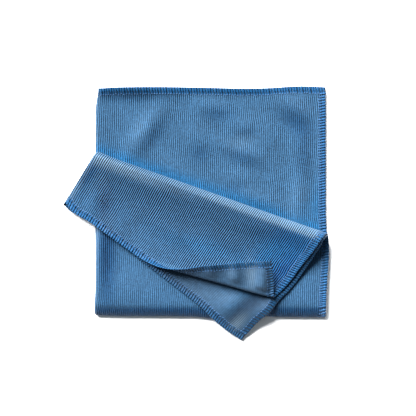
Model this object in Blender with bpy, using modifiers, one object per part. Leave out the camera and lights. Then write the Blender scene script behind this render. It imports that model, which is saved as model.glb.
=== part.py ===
"""A square knitted cloth folded in quarters, its front half turned down and one corner turned back.

The cloth is one flat sheet until it is folded. A point of the flat sheet is named by two
distances from its middle: side runs across the sheet and length runs along its ribs. The
folds are made one after the other, each as a bend of the sheet about a line, in this order:
the left fold joins the two halves of side, the bottom fold carries the front pair of layers
over the back pair, the turn brings the top of the front pair down across the stack as a flap
of two layers, and the corner of the flap's upper layer is bent back on itself.
"""

import math

import bpy
import numpy as np

MM = 0.001

# The cloth
CLOTH_SIDE = 400 * MM
SHEET = 1.0 * MM
BAND = 6.0 * MM
BAND_THICKNESS = 1.35 * MM
BORDER_THICKNESS = 0.9 * MM
BORDER_ROUNDING = 1.4 * MM
LAYER_STEP = 1.8 * MM

# Left fold, a tight bend that relaxes to the layer step
LEFT_RADIUS = 1.35 * MM
LEFT_SETTLING = 16 * MM

# Bottom fold, a soft roll whose section is longer than it is high
BOTTOM_RADIUS = 4.3 * MM
BOTTOM_STRETCH = 1.65
BOTTOM_TAKE_UP = 4.0 * MM
BOTTOM_SETTLING = 55 * MM
BOTTOM_SLOPE = -0.0065
# how far the top of the roll leans in over the stack, and its foot out
BOTTOM_SAG = 7.5 * MM
BOTTOM_SAG_LEVEL = 0.3
BOTTOM_SAG_RUN = 12 * MM
FRONT_LEAN = 0.020

# Turn of the front pair, a roll that grows from left to right
TURN_LEFT = (2.2 * MM, 142.2 * MM)
TURN_RIGHT = (200.8 * MM, 72.1 * MM)
TURN_RADIUS_LEFT = 1.9 * MM
TURN_RADIUS_RIGHT = 5.7 * MM
TURN_SETTLING = 50 * MM
TURN_SOFTNESS = 0.08
# how much taller than round the roll is
CROWN_LEFT = 6.4 * MM
CROWN_RIGHT = 2.4 * MM
# over what distance past the turn the flap's ridges rise
RIDGE_RUN = 12 * MM
FLAP_STEP = 1.9 * MM

# How far the two layers of the flap creep along and across the turn
CREEP_RUN = 45 * MM
CREEP_LEFT = 4.6 * MM
CREEP_RIGHT = 4.6 * MM
UPPER_SHORTENING_LEFT = 0.2 * MM
UPPER_SHORTENING_RIGHT = 8.0 * MM
LOWER_SHORTENING_LEFT = 4.2 * MM
LOWER_SHORTENING_RIGHT = 5.2 * MM
LOWER_BULGE = 2.6 * MM
LOWER_PULL = 2.6 * MM
LOWER_BULGE_RUN = 105 * MM

# Overhang of the flap past the left fold, and of its lower layer past the bottom fold
OVERHANG_SLOPE = 0.30
OVERHANG_EASE = 6 * MM
DRAPE_TOP = 10 * MM
DRAPE_RUN = 32 * MM
DRAPE_END = 2.4 * MM

# Corner of the upper layer, bent back about a line from left to right
CORNER_LEFT = (45.7 * MM, 46.4 * MM)
CORNER_RIGHT = (157.2 * MM, 15.0 * MM)
CORNER_RADIUS_LEFT = 4.5 * MM
CORNER_RADIUS_RIGHT = 2.3 * MM
# part of the way along the line, angle the sheet is bent through in degrees
CORNER_BEND = (
    (0.00, 50.0),
    (0.20, 100.0),
    (0.40, 144.0),
    (0.65, 164.0),
    (1.00, 172.0),
)

# Soft ridges of the stack: middle across, middle up, half length, half width, heading, height
STACK_RIDGES = (
    (44.9, 162.7, 26.0, 9.0, 57.0, 3.5),
    (99.7, 181.9, 14.0, 6.5, -8.0, 1.6),
    (87.5, 154.0, 10.0, 14.0, 10.0, 2.0),
    (132.0, 140.9, 14.0, 6.0, -25.0, 1.9),
    (131.0, 165.3, 13.0, 7.5, 0.0, 1.6),
    (110.2, 147.9, 11.0, 5.0, -32.0, 1.1),
    (170.3, 180.1, 17.0, 8.0, -28.0, 3.2),
    (179.0, 143.0, 30.0, 9.0, 92.0, 1.9),
    (195.5, 141.0, 55.0, 5.0, 90.0, 1.4),
    (176.4, 104.0, 20.0, 5.5, 92.0, 1.9),
    (136.3, 102.6, 20.0, 7.0, -18.0, 1.8),
    (121.5, 119.0, 12.0, 6.0, -5.0, 1.1),
    (28.0, 199.5, 42.0, 7.0, -2.0, 4.9),
    (117.0, 199.5, 50.0, 4.5, 0.0, 1.8),
    (4.5, 58.0, 24.0, 5.5, 90.0, 2.8),
    (62.0, 128.0, 18.0, 10.0, -35.0, 1.2),
    (150.0, 158.0, 12.0, 9.0, 70.0, 0.8),
    (28.0, 22.0, 26.0, 12.0, -12.0, 1.2),
    (184.0, 30.0, 12.0, 8.0, 80.0, 0.8),
)
# Soft ridges of the flap, in the same columns
FLAP_RIDGES = (
    (-14.0, 125.0, 12.0, 6.5, 60.0, 2.0),
    (1.0, 101.0, 16.0, 8.0, 78.0, 2.6),
    (30.0, 84.0, 20.0, 8.0, 50.0, 1.0),
    (74.0, 68.0, 26.0, 10.0, -30.0, 1.2),
    (141.5, 80.0, 14.0, 8.0, -20.0, 1.2),
    (128.0, 40.0, 14.0, 9.0, 30.0, 1.0),
    (119.5, 13.0, 16.0, 7.0, 42.0, 1.6),
    (146.5, 4.0, 20.0, 6.5, 47.0, 2.8),
    (118.0, -12.0, 10.0, 4.5, 60.0, 1.0),
)
# Soft ridges of the flap's upper layer alone, and of the part of it that is bent back
UPPER_RIDGES = (
    (176.0, 42.0, 26.0, 9.0, 50.0, 3.4),
)
CORNER_RIDGES = (
    (100.0, 40.0, 16.0, 5.0, 95.0, 2.0),
    (121.0, 36.0, 16.0, 4.5, 92.0, 2.6),
    (144.5, 33.0, 18.0, 5.0, 92.0, 5.8),
)
CORNER_RIDGE_RUN = 5 * MM

# Small shifts of the outline: middle across, middle up, reach, shift across, shift up
SHIFTS = (
    (0.0, 200.0, 13.0, 2.6, -0.6),
    (52.0, 200.0, 34.0, 0.0, 0.5),
    (132.0, 200.0, 30.0, 0.0, -0.8),
    (178.0, 200.0, 20.0, 0.0, 1.3),
    (202.0, 54.0, 22.0, 1.8, 0.0),
    (0.0, 4.0, 14.0, -0.7, 0.4),
)

# From the meeting point of the left and bottom folds to the middle of the whole
PLACE = (87.61 * MM, 89.64 * MM, 0.0)

# The mesh
GRID_STEPS = 500
TRIANGLES = 11500
LEVEL_WITHIN = 0.05 * MM

HALF_SIDE = CLOTH_SIDE / 2


def eased(amount):
    """Go from 0 to 1 with level ends."""
    held = np.clip(amount, 0.0, 1.0)
    return held * held * (3.0 - 2.0 * held)


def between(first, last, amount):
    """Go from the first value to the last as the amount goes from 0 to 1."""
    return first + (last - first) * amount


def quarter_round(long_radius, short_radius):
    """Length of a quarter of an ellipse."""
    total = long_radius + short_radius
    product = (3.0 * long_radius + short_radius) * (long_radius + 3.0 * short_radius)
    return math.pi / 4.0 * (3.0 * total - np.sqrt(product))


def line_frame(start, end):
    """Unit vector along a line, the one across it to its left, and its length."""
    run = np.subtract(end, start)
    length = float(np.hypot(*run))
    along = run / length
    across = np.array((-along[1], along[0]))
    return along, across, length


def ridges(table, across, up):
    """Height that a table of soft ridges adds at a place."""
    total = np.zeros_like(across)
    for middle_x, middle_y, half_length, half_width, heading, height in table:
        turned = math.radians(heading)
        right = across / MM - middle_x
        above = up / MM - middle_y
        lengthways = right * math.cos(turned) + above * math.sin(turned)
        sideways = above * math.cos(turned) - right * math.sin(turned)
        fall = (lengthways / half_length) ** 2 + (sideways / half_width) ** 2
        total += height * MM * np.exp(-fall)
    return total


def shifts(across, up):
    """Shift across and up that the outline has at a place."""
    moved_across = np.zeros_like(across)
    moved_up = np.zeros_like(across)
    for middle_x, middle_y, reach, shift_x, shift_y in SHIFTS:
        distance = np.hypot(across / MM - middle_x, up / MM - middle_y)
        share = np.exp(-((distance / reach) ** 2))
        moved_across += shift_x * MM * share
        moved_up += shift_y * MM * share
    return moved_across, moved_up


def sheet_thickness(side, length):
    """Thickness of the sheet, which swells along its bound edge."""
    inside = HALF_SIDE - np.maximum(np.abs(side), np.abs(length))
    band = between(BAND_THICKNESS, SHEET, eased((inside - BAND + MM) / (2.0 * MM)))
    return between(BORDER_THICKNESS, band, np.sqrt(np.clip(inside / BORDER_ROUNDING, 0.0, 1.0)))


def layer_step(across):
    """Distance between the two layers of a pair, wider beside the left fold."""
    settled = eased((across - LEFT_RADIUS) / LEFT_SETTLING)
    return between(2.0 * LEFT_RADIUS, LAYER_STEP, settled)


def fold_left(side):
    """Fold the sheet about its middle: distance from the fold and depth in the pair."""
    angle = np.clip(side / LEFT_RADIUS, -math.pi / 2.0, math.pi / 2.0)
    run = np.maximum(np.abs(side) - LEFT_RADIUS * math.pi / 2.0, 0.0)
    across = LEFT_RADIUS * (1.0 - np.cos(angle)) + run
    depth = LEFT_RADIUS * (1.0 + np.sin(angle))
    depth = np.where(side > 0.0, depth - 2.0 * LEFT_RADIUS + layer_step(across), depth)
    inner = LEFT_RADIUS * (1.0 + np.sin(angle))
    return across, np.where(run > 0.0, depth, inner)


def front_height(across, up):
    """Height of the uppermost layer of the stack of four."""
    flat = SHEET / 2.0 + 2.0 * layer_step(across) + LAYER_STEP
    rolled = SHEET / 2.0 + 2.0 * BOTTOM_RADIUS
    settled = eased((up - BOTTOM_RADIUS * BOTTOM_STRETCH) / BOTTOM_SETTLING)
    return between(rolled, flat, settled)


def fold_bottom(across, depth, length):
    """Fold the pair about the bottom line: place across, place up, height, and which is front."""
    level = length - BOTTOM_SLOPE * across
    short = BOTTOM_RADIUS - depth
    stretch = 1.0 + (BOTTOM_STRETCH - 1.0) * short / BOTTOM_RADIUS
    long = stretch * short
    half = quarter_round(long, short) + BOTTOM_TAKE_UP * depth / LAYER_STEP
    angle = np.clip(level / half, -1.0, 1.0) * math.pi / 2.0
    run = np.maximum(np.abs(level) - half, 0.0)
    up = BOTTOM_SLOPE * across + BOTTOM_RADIUS * BOTTOM_STRETCH - long * np.cos(angle) + run
    front = level < 0.0
    placed = across + np.where(front, FRONT_LEAN * run, 0.0)
    rolled = SHEET / 2.0 + BOTTOM_RADIUS - short * np.sin(angle)
    height = np.where(front & (run > 0.0), front_height(placed, up) - depth, rolled)
    above = height / (2.0 * BOTTOM_RADIUS) - BOTTOM_SAG_LEVEL
    up = up + BOTTOM_SAG * above * np.exp(-((up / BOTTOM_SAG_RUN) ** 2))
    return placed, up, height, front


def turn_radius(along):
    """Radius of the turn at a distance along its line."""
    along_line = np.clip(along / TURN_LENGTH, -0.15, 1.1)
    return between(TURN_RADIUS_LEFT, TURN_RADIUS_RIGHT, along_line)


def crown(along):
    """How much taller than round the turn is, at a distance along its line."""
    return between(CROWN_LEFT, CROWN_RIGHT, np.clip(along / TURN_LENGTH, 0.0, 1.0))


def flap_height(across, up, depth):
    """Height of a flap layer: off the turn, down on the stack and over its edges."""
    along = (across - TURN_LEFT[0]) * TURN_ALONG[0] + (up - TURN_LEFT[1]) * TURN_ALONG[1]
    out = (across - TURN_LEFT[0]) * TURN_ACROSS[0] + (up - TURN_LEFT[1]) * TURN_ACROSS[1]
    radius = turn_radius(along)
    run = -out - radius - LAYER_STEP - SHEET / 2.0
    share = np.clip(run / TURN_SETTLING, 0.0, 1.0)
    share = share**2 * (1.0 + TURN_SOFTNESS) / (share + TURN_SOFTNESS)
    settled = 1.0 - (1.0 - share) ** 2
    height = front_height(across, up) + between(2.0 * radius + crown(along), FLAP_STEP, settled)
    past_left = np.maximum(MM - across, 0.0)
    droop = OVERHANG_SLOPE * (np.hypot(past_left, OVERHANG_EASE) - OVERHANG_EASE)
    swell = ridges(FLAP_RIDGES, across, up)
    swell += ridges(UPPER_RIDGES, across, up) * depth / LAYER_STEP
    swell *= eased(run / RIDGE_RUN)
    drape = eased((DRAPE_TOP - up) / DRAPE_RUN)
    return between(height - droop + swell, DRAPE_END, drape) + depth


def turn_down(across, up, height, depth, front):
    """Turn the front pair down about the turn line."""
    along = (across - TURN_LEFT[0]) * TURN_ALONG[0] + (up - TURN_LEFT[1]) * TURN_ALONG[1]
    out = (across - TURN_LEFT[0]) * TURN_ACROSS[0] + (up - TURN_LEFT[1]) * TURN_ACROSS[1]
    radius = turn_radius(along)
    lead = radius + LAYER_STEP + SHEET / 2.0
    past = out + lead
    layer_radius = radius + depth
    angle = np.clip(past / layer_radius, 0.0, math.pi)
    run = np.maximum(past - math.pi * layer_radius, 0.0)

    share = across / HALF_SIDE
    upper = np.clip(depth / LAYER_STEP, 0.0, 1.0)
    slide = (CREEP_LEFT * (1.0 - share) ** 2 + CREEP_RIGHT * share) * np.clip(run / CREEP_RUN, 0.0, 1.0)
    part = np.clip(run / LOWER_BULGE_RUN, 0.0, 1.0)
    slide += (LOWER_BULGE * np.sin(math.pi * part) - LOWER_PULL * part**2) * share**2 * (1.0 - upper)
    lower_shortening = between(LOWER_SHORTENING_LEFT, LOWER_SHORTENING_RIGHT, share)
    upper_shortening = between(UPPER_SHORTENING_LEFT, UPPER_SHORTENING_RIGHT, share**2)
    shortened = run - between(lower_shortening, upper_shortening, upper) * eased(run / CREEP_RUN)

    out_turned = layer_radius * np.sin(angle) - shortened - lead
    along_turned = along + slide
    turned = front & (past > 0.0)
    across_new = TURN_LEFT[0] + along_turned * TURN_ALONG[0] + out_turned * TURN_ACROSS[0]
    up_new = TURN_LEFT[1] + along_turned * TURN_ALONG[1] + out_turned * TURN_ACROSS[1]
    across_new = np.where(turned, across_new, across)
    up_new = np.where(turned, up_new, up)
    roll = front_height(across_new, up_new) + radius - layer_radius * np.cos(angle)
    roll = roll + crown(along) * (1.0 - np.cos(angle)) / 2.0
    flap = turned & (run > 0.0)
    height_new = np.where(turned, roll, height)
    return across_new, up_new, height_new, flap


def bend_corner(across, up, depth, upper):
    """Bend the flap's free corner back about the corner line, and give the flap its height."""
    along = (across - CORNER_LEFT[0]) * CORNER_ALONG[0] + (up - CORNER_LEFT[1]) * CORNER_ALONG[1]
    out = (CORNER_LEFT[0] - across) * CORNER_ACROSS[0] + (CORNER_LEFT[1] - up) * CORNER_ACROSS[1]
    part = np.clip(along / CORNER_LENGTH, 0.0, 1.0)
    radius = between(CORNER_RADIUS_LEFT, CORNER_RADIUS_RIGHT, part)
    bend = np.radians(np.interp(part, *np.transpose(CORNER_BEND)))
    lead = radius + SHEET / 2.0
    past = np.where(upper, out + lead, 0.0)
    angle = np.clip(past / radius, 0.0, bend)
    run = np.maximum(past - bend * radius, 0.0)
    out_bent = radius * np.sin(angle) + run * np.cos(bend) - lead
    bent = past > 0.0
    across_new = CORNER_LEFT[0] + along * CORNER_ALONG[0] - out_bent * CORNER_ACROSS[0]
    up_new = CORNER_LEFT[1] + along * CORNER_ALONG[1] - out_bent * CORNER_ACROSS[1]
    across_new = np.where(bent, across_new, across)
    up_new = np.where(bent, up_new, up)
    raised = radius * (1.0 - np.cos(angle)) + run * np.sin(bend)
    raised += ridges(CORNER_RIDGES, across_new, up_new) * eased(run / CORNER_RIDGE_RUN)
    height = flap_height(across_new, up_new, depth) + np.where(bent, raised, 0.0)
    return across_new, up_new, height


def folded(side, length):
    """Carry points of the flat sheet to their places in the folded cloth."""
    across, depth = fold_left(side)
    across, up, height, front = fold_bottom(across, depth, length)
    across, up, height, flap = turn_down(across, up, height, depth, front)
    upper = flap & (side > LEFT_RADIUS * math.pi / 2.0)
    across_flap, up_flap, height_flap = bend_corner(across, up, depth, upper)
    across = np.where(flap, across_flap, across)
    up = np.where(flap, up_flap, up)
    height = np.where(flap, height_flap, height)
    above_back = eased((height - SHEET / 2.0) / LAYER_STEP)
    height = height + ridges(STACK_RIDGES, across, up) * above_back
    height = height + (sheet_thickness(side, length) - SHEET) / 2.0
    moved_across, moved_up = shifts(across, up)
    return np.stack((across + moved_across, up + moved_up, height), axis=-1)


TURN_ALONG, TURN_ACROSS, TURN_LENGTH = line_frame(TURN_LEFT, TURN_RIGHT)
CORNER_ALONG, CORNER_ACROSS, CORNER_LENGTH = line_frame(CORNER_LEFT, CORNER_RIGHT)


def clear_scene():
    """Remove every object that is already there."""
    for item in list(bpy.data.objects):
        bpy.data.objects.remove(item, do_unlink=True)


def cloth_material():
    """Dyed knitted microfibre."""
    material = bpy.data.materials.new("knitted microfibre")
    material.use_nodes = True
    shader = material.node_tree.nodes["Principled BSDF"]
    shader.inputs["Base Color"].default_value = (0.075, 0.195, 0.37, 1.0)
    shader.inputs["Roughness"].default_value = 0.9
    return material


def build_cloth(collection):
    """Lay out the flat sheet, fold it and give it its thickness."""
    bpy.ops.mesh.primitive_grid_add(x_subdivisions=GRID_STEPS, y_subdivisions=GRID_STEPS, size=CLOTH_SIDE)
    cloth = bpy.context.object
    cloth.name = "cloth"
    mesh = cloth.data
    flat = np.empty(len(mesh.vertices) * 3)
    mesh.vertices.foreach_get("co", flat)
    side, length, _ = flat.reshape(-1, 3).T
    places = folded(side, length) - PLACE
    mesh.vertices.foreach_set("co", places.ravel())

    share = sheet_thickness(side, length) / BAND_THICKNESS
    group = cloth.vertex_groups.new(name="thickness")
    steps = np.round(share * 40.0).astype(int)
    for step in np.unique(steps):
        group.add(np.flatnonzero(steps == step).tolist(), float(step / 40.0), "REPLACE")

    thicken = cloth.modifiers.new("thickness", "SOLIDIFY")
    thicken.thickness = BAND_THICKNESS
    thicken.offset = 0.0
    thicken.vertex_group = group.name
    thicken.use_even_offset = False
    thin_out = cloth.modifiers.new("fewer faces", "DECIMATE")
    faces = 4.0 * GRID_STEPS**2
    thin_out.ratio = TRIANGLES / faces
    for modifier in (thicken.name, thin_out.name):
        bpy.ops.object.modifier_apply(modifier=modifier)
    for vertex in cloth.data.vertices:
        if vertex.co.z < LEVEL_WITHIN:
            vertex.co.z = 0.0

    cloth.data.materials.append(cloth_material())
    for owner in list(cloth.users_collection):
        owner.objects.unlink(cloth)
    collection.objects.link(cloth)
    return cloth


def main():
    """Build the folded cloth."""
    clear_scene()
    collection = bpy.data.collections.new("folded cloth")
    bpy.context.scene.collection.children.link(collection)
    build_cloth(collection)


main()
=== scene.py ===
"""Looks of a quarter-folded microfibre cloth: its knit, its overlocked edge, the light and the camera.

The cloth is one flat sheet that is folded by a chain of bends, the same ones that the frame's
solid has. A point of the flat sheet is named by its side, across the ribs, and its length, along
them, both from the sheet's middle. The knit and the sewing are laid out on the flat sheet and are
carried through the same folds. A place on the folded stack is named by how far across it is from
the left fold and how far up from the bottom fold.

The folds have the solid's sizes, except for the few that are marked "drawn closer": there the
photograph's outline was measured again, and the sheet lies up to 3 mm from the solid.
"""

from __future__ import annotations

import logging
import math
from collections.abc import Iterable
from dataclasses import dataclass, field
from enum import Enum

import bpy
import numpy as np
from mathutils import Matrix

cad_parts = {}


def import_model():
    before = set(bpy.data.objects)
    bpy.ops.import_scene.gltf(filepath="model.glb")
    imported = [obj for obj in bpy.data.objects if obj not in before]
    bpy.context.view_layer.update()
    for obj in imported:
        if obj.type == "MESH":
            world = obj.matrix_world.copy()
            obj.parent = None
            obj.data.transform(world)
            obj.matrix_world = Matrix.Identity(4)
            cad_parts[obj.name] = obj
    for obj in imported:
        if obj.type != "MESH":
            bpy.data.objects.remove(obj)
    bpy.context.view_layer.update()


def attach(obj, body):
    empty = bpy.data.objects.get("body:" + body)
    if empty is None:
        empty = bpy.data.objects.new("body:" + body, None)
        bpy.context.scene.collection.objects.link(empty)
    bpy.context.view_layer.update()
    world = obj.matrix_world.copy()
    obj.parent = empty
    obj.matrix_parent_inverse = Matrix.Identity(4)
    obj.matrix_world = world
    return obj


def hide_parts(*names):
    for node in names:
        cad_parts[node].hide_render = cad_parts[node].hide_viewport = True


MM = 0.001
NODE = "cloth"
LOG = logging.getLogger("cloth")

Row = tuple[float, ...]
Colour = tuple[float, float, float, float]


class Border(Enum):
    """The four cut edges of the flat sheet, each as the way that points out of it."""

    TOP = (0.0, 1.0)
    BOTTOM = (0.0, -1.0)
    LEFT = (-1.0, 0.0)
    RIGHT = (1.0, 0.0)


class Face(Enum):
    """The two faces of the sheet, each as its sign along the sheet's normal."""

    RIBBED = 1.0
    SMOOTH = -1.0


class Kind(Enum):
    """What a material's node does, with its type name."""

    SHADER = "ShaderNodeBsdfPrincipled"
    OUTPUT = "ShaderNodeOutputMaterial"
    MATH = "ShaderNodeMath"
    MIX = "ShaderNodeMix"
    NOISE = "ShaderNodeTexNoise"
    BUMP = "ShaderNodeBump"
    ATTRIBUTE = "ShaderNodeAttribute"
    UV_MAP = "ShaderNodeUVMap"
    PLACE = "ShaderNodeTexCoord"
    SEPARATE = "ShaderNodeSeparateXYZ"


def eased(amount: np.ndarray | float) -> np.ndarray:
    """Go from 0 to 1 with level ends."""
    held = np.clip(amount, 0.0, 1.0)
    return held * held * (3.0 - 2.0 * held)


def between(first: np.ndarray | float, last: np.ndarray | float, amount: np.ndarray | float) -> np.ndarray:
    """Go from the first value to the last as the amount goes from 0 to 1."""
    return first + (last - first) * amount


def quarter_round(long_radius: np.ndarray, short_radius: np.ndarray) -> np.ndarray:
    """Find the length of a quarter of an ellipse.

    Args:
        long_radius: the ellipse's radius one way.
        short_radius: its radius the other way.

    Returns:
        The length of the curve.
    """
    total = long_radius + short_radius
    product = (3.0 * long_radius + short_radius) * (long_radius + 3.0 * short_radius)
    return math.pi / 4.0 * (3.0 * total - np.sqrt(product))


def soft_ridges(table: tuple[Row, ...], across: np.ndarray, up: np.ndarray) -> np.ndarray:
    """Add up soft ridges and troughs, or soft patches, at a place.

    Args:
        table: one row a ridge: middle across, middle up, half length, half width, all in
            millimetres, the heading in degrees and the height in millimetres.
        across: places across the stack, from the left fold.
        up: places up the stack, from the bottom fold.

    Returns:
        The added height at each place, in metres.
    """
    total = np.zeros_like(across)
    for middle_x, middle_y, half_length, half_width, heading, height in table:
        turned = math.radians(heading)
        right = across / MM - middle_x
        above = up / MM - middle_y
        lengthways = right * math.cos(turned) + above * math.sin(turned)
        sideways = above * math.cos(turned) - right * math.sin(turned)
        fall = (lengthways / half_length) ** 2 + (sideways / half_width) ** 2
        total += height * MM * np.exp(-fall)
    return total


@dataclass(frozen=True)
class FoldLine:
    """A straight fold line over the stack."""

    start: tuple[float, float]
    end: tuple[float, float]

    @property
    def length(self) -> float:
        """Length of the line."""
        return math.dist(self.start, self.end)

    @property
    def along(self) -> np.ndarray:
        """Unit vector from the start to the end."""
        return np.subtract(self.end, self.start) / self.length

    @property
    def across(self) -> np.ndarray:
        """Unit vector to the left of the line."""
        along = self.along
        return np.array((-along[1], along[0]))

    def measure(self, across: np.ndarray, up: np.ndarray) -> tuple[np.ndarray, np.ndarray]:
        """Measure places from the line.

        Args:
            across: places across the stack.
            up: places up the stack.

        Returns:
            Distances along the line, and to its left.
        """
        right = across - self.start[0]
        above = up - self.start[1]
        run = right * self.along[0] + above * self.along[1]
        out = right * self.across[0] + above * self.across[1]
        return run, out

    def place(self, run: np.ndarray, out: np.ndarray) -> tuple[np.ndarray, np.ndarray]:
        """Find the places that lie at distances from the line.

        Args:
            run: distances along the line.
            out: distances to its left.

        Returns:
            Places across and up the stack.
        """
        across = self.start[0] + run * self.along[0] + out * self.across[0]
        up = self.start[1] + run * self.along[1] + out * self.across[1]
        return across, up


@dataclass(frozen=True)
class FoldedSheet:
    """The sheet's folds, with the sizes that the frame's solid has.

    A row of a table of ridges is: middle across, middle up, half length, half width, heading in
    degrees, height. A row of outline shifts is: middle across, middle up, reach, shift across,
    shift up. Both are in millimetres on the folded stack.
    """

    # the flat sheet and its bound edge
    side: float = 400 * MM
    sheet: float = 1.0 * MM
    band: float = 6.0 * MM
    band_blend: float = 2.0 * MM
    band_thickness: float = 1.35 * MM
    border_thickness: float = 0.9 * MM
    border_rounding: float = 1.4 * MM
    layer_step: float = 1.8 * MM

    # how far apart two points are that show which way the sheet faces
    probe: float = 0.1 * MM

    # first fold, about the left line
    left_radius: float = 1.35 * MM
    left_settling: float = 16 * MM

    # second fold, about the bottom line, a slack roll that sags outwards
    bottom_radius: float = 4.3 * MM
    bottom_stretch: float = 1.65
    bottom_take_up: float = 4.0 * MM
    bottom_settling: float = 55 * MM
    bottom_slope: float = -0.0065
    bottom_sag: float = 7.5 * MM
    bottom_sag_level: float = 0.30
    bottom_sag_run: float = 12 * MM
    front_lean: float = 0.020

    # third fold, the front pair turned down about a slanting line
    turn: FoldLine = FoldLine((2.2 * MM, 142.2 * MM), (200.8 * MM, 72.1 * MM))
    turn_ends: tuple[float, float] = (-0.15, 1.1)
    turn_radius_left: float = 1.9 * MM
    turn_radius_right: float = 5.7 * MM
    turn_settling: float = 50 * MM
    flap_step: float = 1.9 * MM
    turn_softness: float = 0.08
    crown_left: float = 6.4 * MM
    crown_right: float = 2.4 * MM

    # how the flap's two layers slide on each other and draw short
    creep_run: float = 45 * MM
    creep_left: float = 4.6 * MM
    creep_right: float = 4.6 * MM
    upper_shortening_left: float = 0.2 * MM
    upper_shortening_right: float = 8.0 * MM
    lower_shortening_left: float = 5.9 * MM  # drawn closer, 4.2 mm in the solid
    lower_shortening_right: float = 5.2 * MM
    lower_bulge: float = 2.6 * MM
    lower_pull: float = 2.6 * MM
    lower_bulge_run: float = 105 * MM

    # where the flap hangs past the left fold and down over the bottom fold
    overhang_begins: float = 1.0 * MM
    overhang_slope: float = 0.30
    overhang_ease: float = 6 * MM
    drape_top: float = 10 * MM
    drape_run: float = 32 * MM
    drape_end: float = 2.4 * MM

    # the flap's free corner, bent back further and further towards the right
    corner: FoldLine = FoldLine((45.7 * MM, 46.4 * MM), (157.2 * MM, 15.0 * MM))
    corner_radius_left: float = 4.5 * MM
    corner_radius_right: float = 2.3 * MM
    corner_parts: Row = (0.00, 0.20, 0.40, 0.65, 1.00)
    corner_degrees: Row = (50.0, 100.0, 144.0, 164.0, 172.0)

    # ridges and troughs grow to their full height over these runs from the turn and the bend
    flap_swell_run: float = 12 * MM
    corner_swell_run: float = 5 * MM
    # soft ridges and troughs of the stack
    stack_ridges: tuple[Row, ...] = (
        (44.9, 162.7, 26.0, 9.0, 57.0, 3.5),
        (99.7, 181.9, 14.0, 6.5, -8.0, 1.6),
        (87.5, 154.0, 10.0, 14.0, 10.0, 2.0),
        (132.0, 140.9, 14.0, 6.0, -25.0, 1.9),
        (131.0, 165.3, 13.0, 7.5, 0.0, 1.6),
        (110.2, 147.9, 11.0, 5.0, -32.0, 1.1),
        (170.3, 180.1, 17.0, 8.0, -28.0, 3.2),
        (179.0, 143.0, 30.0, 9.0, 92.0, 1.9),
        (195.5, 141.0, 55.0, 5.0, 90.0, 1.4),
        (176.4, 104.0, 20.0, 5.5, 92.0, 1.9),
        (136.3, 102.6, 20.0, 7.0, -18.0, 1.8),
        (121.5, 119.0, 12.0, 6.0, -5.0, 1.1),
        (28.0, 199.5, 42.0, 7.0, -2.0, 4.9),
        (117.0, 199.5, 50.0, 4.5, 0.0, 1.8),
        (4.5, 58.0, 24.0, 5.5, 90.0, 2.8),
        (62.0, 128.0, 18.0, 10.0, -35.0, 1.2),
        (150.0, 158.0, 12.0, 9.0, 70.0, 0.8),
        (28.0, 22.0, 26.0, 12.0, -12.0, 1.2),
        (184.0, 30.0, 12.0, 8.0, 80.0, 0.8),
    )
    # of the whole flap, of its upper layer alone, and of the bent corner
    flap_ridges: tuple[Row, ...] = (
        (-14.0, 125.0, 12.0, 6.5, 60.0, 2.0),
        (1.0, 101.0, 16.0, 8.0, 78.0, 2.6),
        (30.0, 84.0, 20.0, 8.0, 50.0, 1.0),
        (74.0, 68.0, 26.0, 10.0, -30.0, 1.2),
        (141.5, 80.0, 14.0, 8.0, -20.0, 1.2),
        (128.0, 40.0, 14.0, 9.0, 30.0, 1.0),
        (119.5, 13.0, 16.0, 7.0, 42.0, 1.6),
        (146.5, 4.0, 20.0, 6.5, 47.0, 2.8),
        (118.0, -12.0, 10.0, 4.5, 60.0, 1.0),
    )
    upper_ridges: tuple[Row, ...] = (
        (176.0, 42.0, 26.0, 9.0, 50.0, 1.0),  # drawn closer, 3.4 mm high in the solid
    )
    corner_ridges: tuple[Row, ...] = (
        (100.0, 40.0, 16.0, 5.0, 95.0, 2.0),
        (121.0, 36.0, 16.0, 4.5, 92.0, 2.6),
        (144.5, 33.0, 18.0, 5.0, 92.0, 5.8),
    )
    # small shifts of the outline, where an edge is pulled in or pushed out
    outline_shifts: tuple[Row, ...] = (
        (0.0, 200.0, 13.0, 2.6, -0.6),
        (52.0, 200.0, 34.0, 0.0, 0.5),
        (132.0, 200.0, 30.0, 0.0, -0.8),
        (178.0, 200.0, 20.0, 0.0, 1.3),
        (202.0, 54.0, 22.0, 1.8, 0.0),
        (0.0, 4.0, 14.0, -0.7, 0.4),
        # the rows from here on are drawn closer, and the solid doesn't have them
        (156.0, 16.4, 9.0, -1.5, 1.3),
        (129.0, -20.0, 14.0, -1.8, 0.3),
        (141.0, -5.0, 11.0, -1.6, 1.2),
        (116.0, -13.0, 14.0, -1.5, -1.7),
        (103.0, -3.0, 12.0, -1.2, -1.6),
        (-22.0, 94.0, 13.0, -1.9, -2.7),
    )
    # the middle of the cloth's box, which is the frame's origin, on the stack
    middle: tuple[float, float] = (87.61 * MM, 89.64 * MM)

    @property
    def half(self) -> float:
        """Half the side of the flat sheet."""
        return self.side / 2.0

    def solid_thickness(self, side: np.ndarray, length: np.ndarray) -> np.ndarray:
        """Find the thickness of the frame's solid, which swells along its bound edge.

        Args:
            side: places across the flat sheet.
            length: places along the flat sheet.

        Returns:
            The thickness at each place.
        """
        inside = self.half - np.maximum(np.abs(side), np.abs(length))
        off_band = eased((inside - self.band + self.band_blend / 2.0) / self.band_blend)
        band = between(self.band_thickness, self.sheet, off_band)
        rounding = np.sqrt(np.clip(inside / self.border_rounding, 0.0, 1.0))
        return between(self.border_thickness, band, rounding)

    def pair_step(self, across: np.ndarray) -> np.ndarray:
        """Distance between the two layers of a pair, wider beside the left fold."""
        settled = eased((across - self.left_radius) / self.left_settling)
        return between(2.0 * self.left_radius, self.layer_step, settled)

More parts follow.
